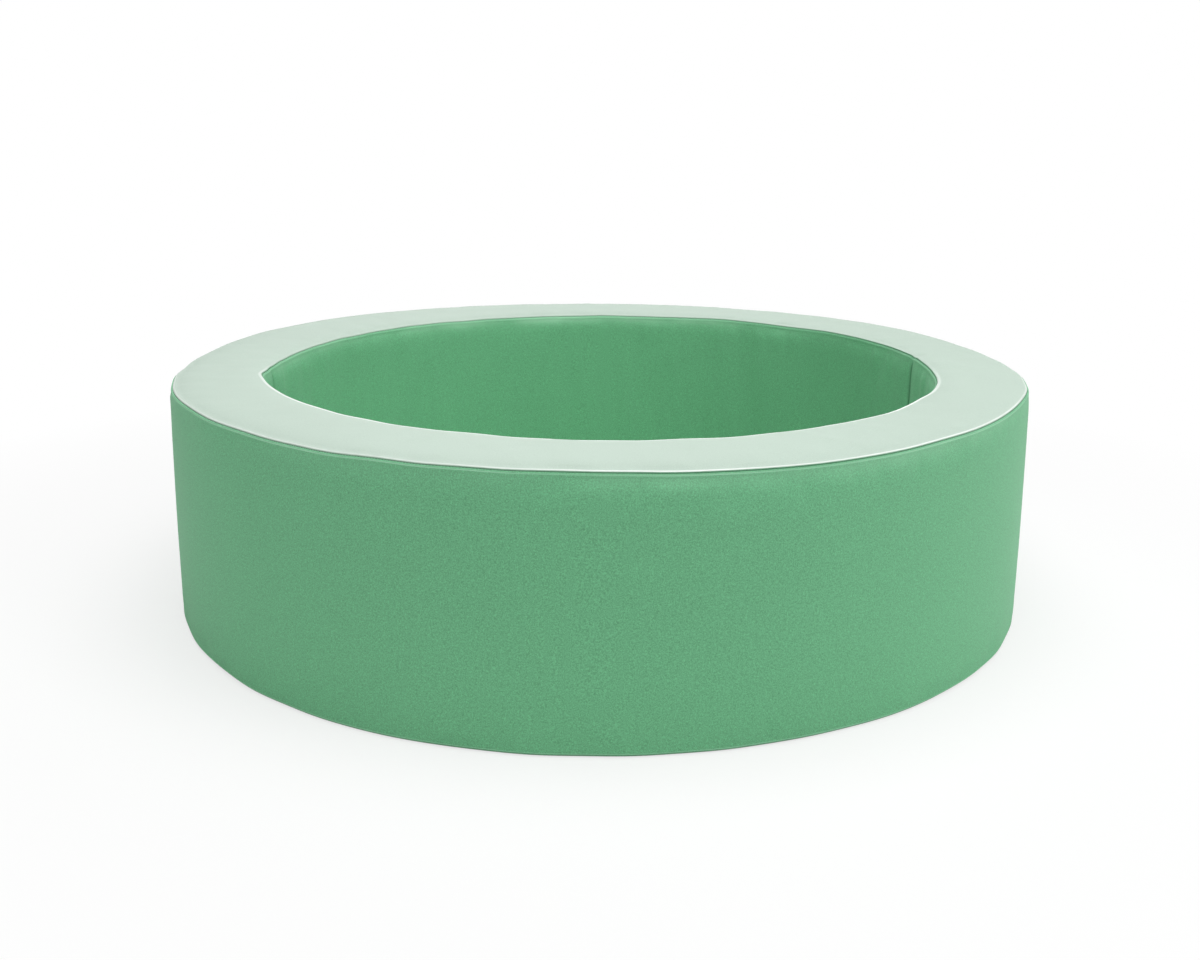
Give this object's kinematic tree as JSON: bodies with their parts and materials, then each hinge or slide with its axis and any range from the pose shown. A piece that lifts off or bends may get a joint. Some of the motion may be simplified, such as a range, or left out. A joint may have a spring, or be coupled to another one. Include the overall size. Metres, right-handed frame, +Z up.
{
  "type": "ball pit",
  "caption": "Round soft-play ball pit: a padded foam ring in a sewn two-tone leatherette cover, open at the top, with a padded floor mat that lifts out.",
  "frame": {"origin": "centre of the base, on the ground", "axes": "+Z up through the open top, -Y towards the viewer of the picture (front), +X to the right"},
  "size_m": [1.2996, 1.2996, 0.35],
  "materials": {
    "green_vinyl": "sage green leatherette with a fine grain, satin",
    "mint_vinyl": "pale mint leatherette with a fine grain, satin",
    "foam": "matt open-cell foam",
    "zip_tape": "woven green tape",
    "zip_coil": "green nylon coil",
    "zip_metal": "plain nickel-plated metal"
  },
  "bodies": {
    "ring": {"foam_half_back": "foam", "foam_half_front": "foam", "outer_wall_back": "green_vinyl", "outer_wall_front": "green_vinyl", "inner_wall_back": "green_vinyl", "inner_wall_front": "green_vinyl", "top_panel": "mint_vinyl", "base_panel": "mint_vinyl", "ring_zip_tape_outer": "zip_tape", "ring_zip_tape_inner": "zip_tape", "ring_zip_row_outer": "zip_coil", "ring_zip_row_inner": "zip_coil", "ring_zip_closed_stop": "zip_metal", "ring_zip_open_stop": "zip_metal"},
    "ring_zip_slider": {"ring_zip_slider": "zip_metal"},
    "ring_zip_pull": {"ring_zip_pull": "zip_metal"},
    "mat": {"mat_foam": "foam", "mat_top_panel": "mint_vinyl", "mat_border": "green_vinyl", "mat_base_panel": "mint_vinyl", "mat_zip_tape_outer": "zip_tape", "mat_zip_tape_inner": "zip_tape", "mat_zip_row_outer": "zip_coil", "mat_zip_row_inner": "zip_coil", "mat_zip_closed_stop": "zip_metal", "mat_zip_open_stop": "zip_metal"},
    "mat_zip_slider": {"mat_zip_slider": "zip_metal"},
    "mat_zip_pull": {"mat_zip_pull": "zip_metal"}
  },
  "joints": [
    {"name": "mat_lift", "type": "slide", "parent": "ring", "child": "mat", "axis": [0, 0, 1], "range_m": [0, 0.45]},
    {"name": "ring_zip_run", "type": "hinge", "parent": "ring", "child": "ring_zip_slider", "pos_m": [0, 0, 0], "axis": [0, 0, 1], "range_deg": [0, 162.3]},
    {"name": "ring_pull_swing", "type": "hinge", "parent": "ring_zip_slider", "child": "ring_zip_pull", "pos_m": [0.55581, 0.14732, 0.0023], "axis": [-0.9666, -0.2562, 0], "range_deg": [0, 180]},
    {"name": "mat_zip_run", "type": "hinge", "parent": "mat", "child": "mat_zip_slider", "pos_m": [0, 0, 0], "axis": [0, 0, 1], "range_deg": [0, 160.5]},
    {"name": "mat_pull_swing", "type": "hinge", "parent": "mat_zip_slider", "child": "mat_zip_pull", "pos_m": [0.33693, 0.09477, 0.0023], "axis": [-0.9626, -0.2708, 0], "range_deg": [0, 180]}
  ]
}
